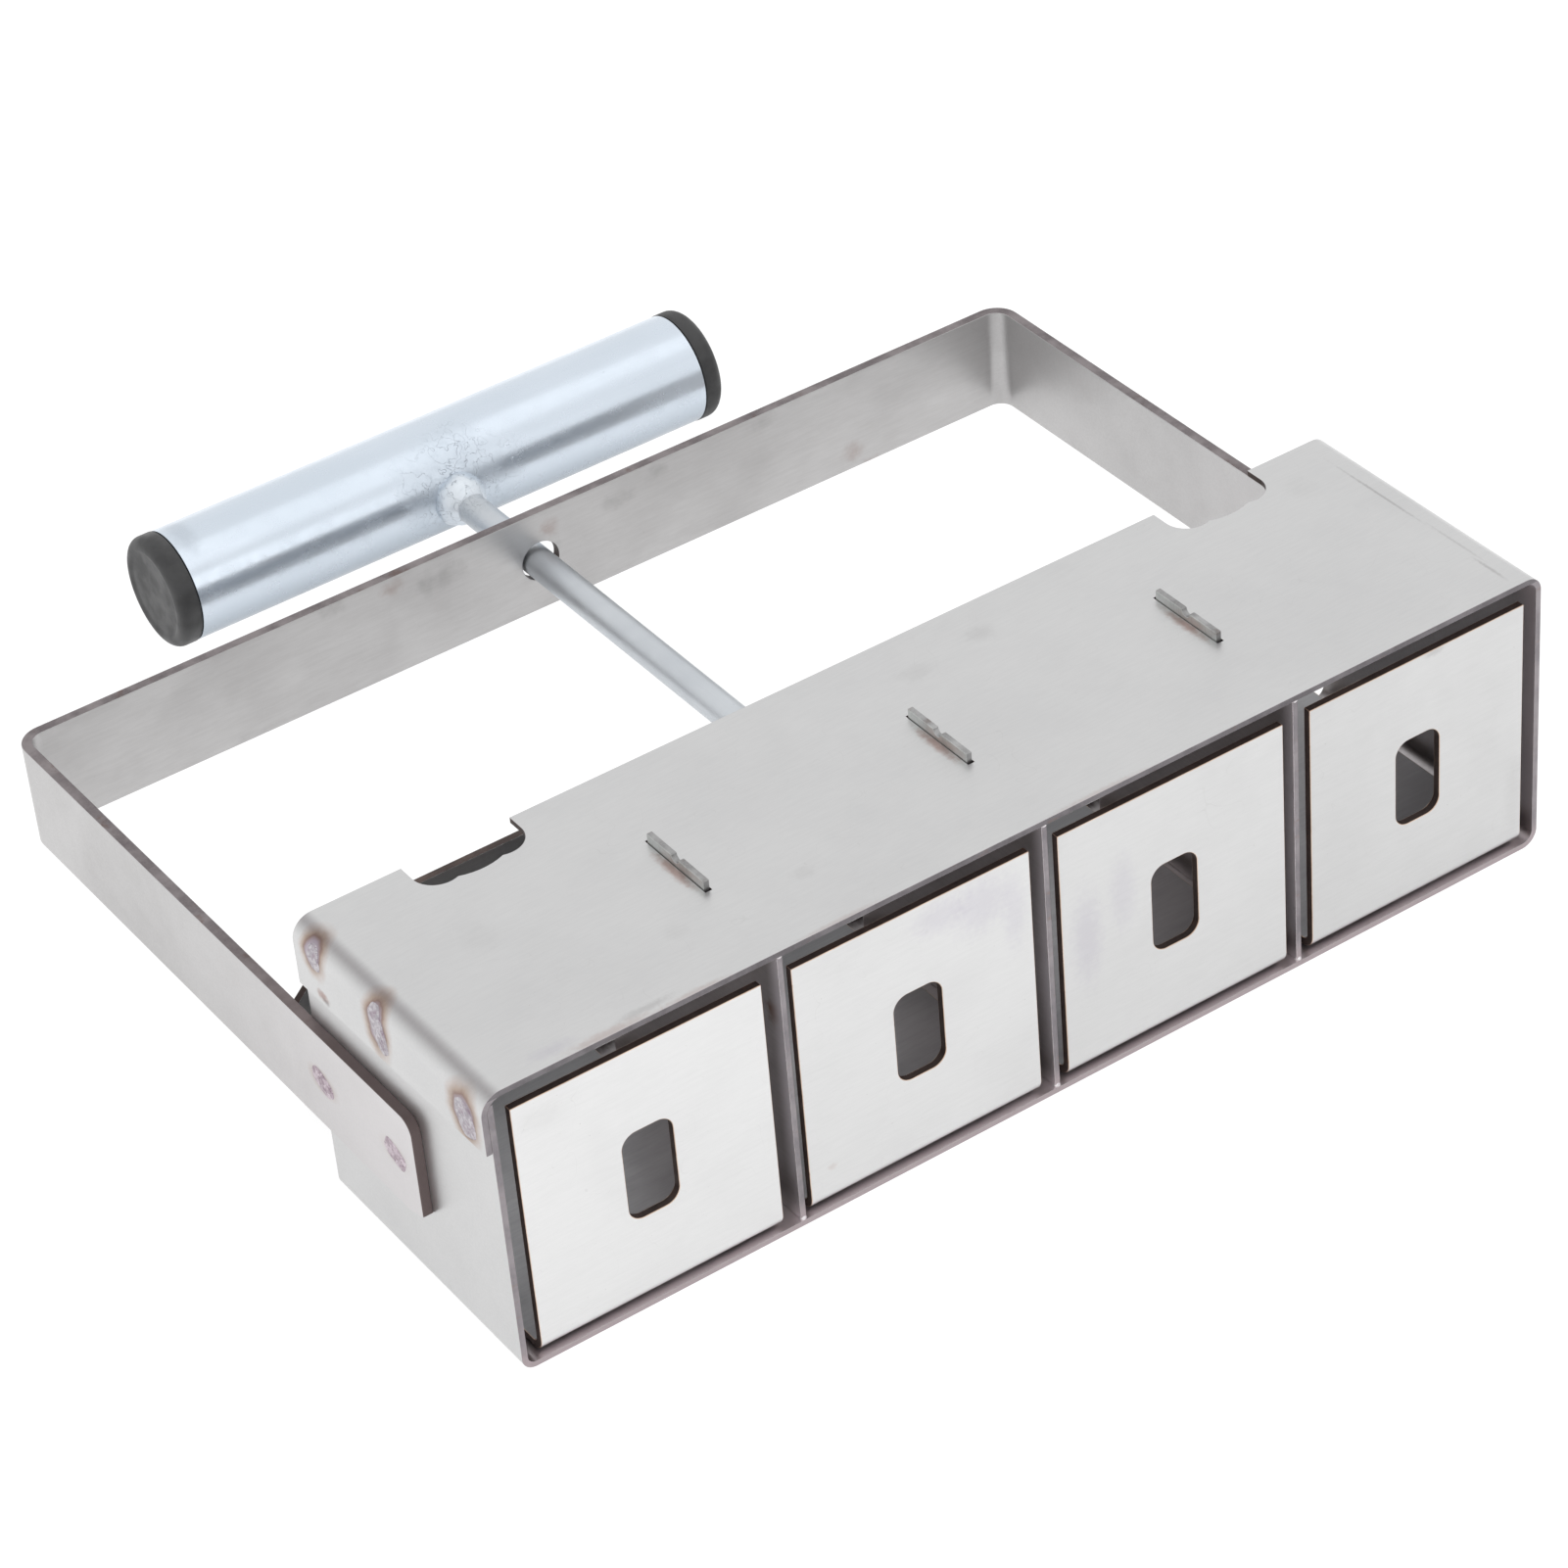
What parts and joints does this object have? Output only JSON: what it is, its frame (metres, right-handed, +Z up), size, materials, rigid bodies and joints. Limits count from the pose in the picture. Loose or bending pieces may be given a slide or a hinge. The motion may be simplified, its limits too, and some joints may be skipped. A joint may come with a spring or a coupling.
{
  "type": "soil blocker",
  "caption": "Hand soil blocker: a bent sheet casing divided into cells in a row, with a sliding plunger of windowed ejectors, a strap frame and a tube handle with end caps.",
  "frame": {"origin": "centre of the casing's bottom outer face, half way between the mouth and the rear edge of the top wall", "axes": "+X along the row of cells, +Y from the open mouth back to the handle, +Z up"},
  "size_m": [0.2188, 0.2061, 0.0598],
  "materials": {
    "casing_sheet": "satin",
    "plate": "satin",
    "flat_bar": "satin",
    "rod": "satin",
    "tube": "polished",
    "weld": "as welded",
    "cap": "moulded"
  },
  "bodies": {
    "frame": {"casing": "casing_sheet", "divider_1": "plate", "divider_2": "plate", "divider_3": "plate", "seam_welds": "weld", "divider_welds": "weld", "strap_frame": "flat_bar", "strap_welds_left": "weld", "strap_welds_right": "weld"},
    "plunger": {"ejector_1": "plate", "ejector_2": "plate", "ejector_3": "plate", "ejector_4": "plate", "crosshead_plate": "plate", "leg_welds": "weld", "plunger_rod": "rod", "rod_foot_weld": "weld", "handle_weld": "weld", "handle_tube": "tube", "handle_cap_left": "cap", "handle_cap_right": "cap"}
  },
  "joints": [
    {"name": "plunger_slide", "type": "slide", "parent": "frame", "child": "plunger", "axis": [0, 1, 0], "range_m": [-0.018, 0.05]}
  ]
}
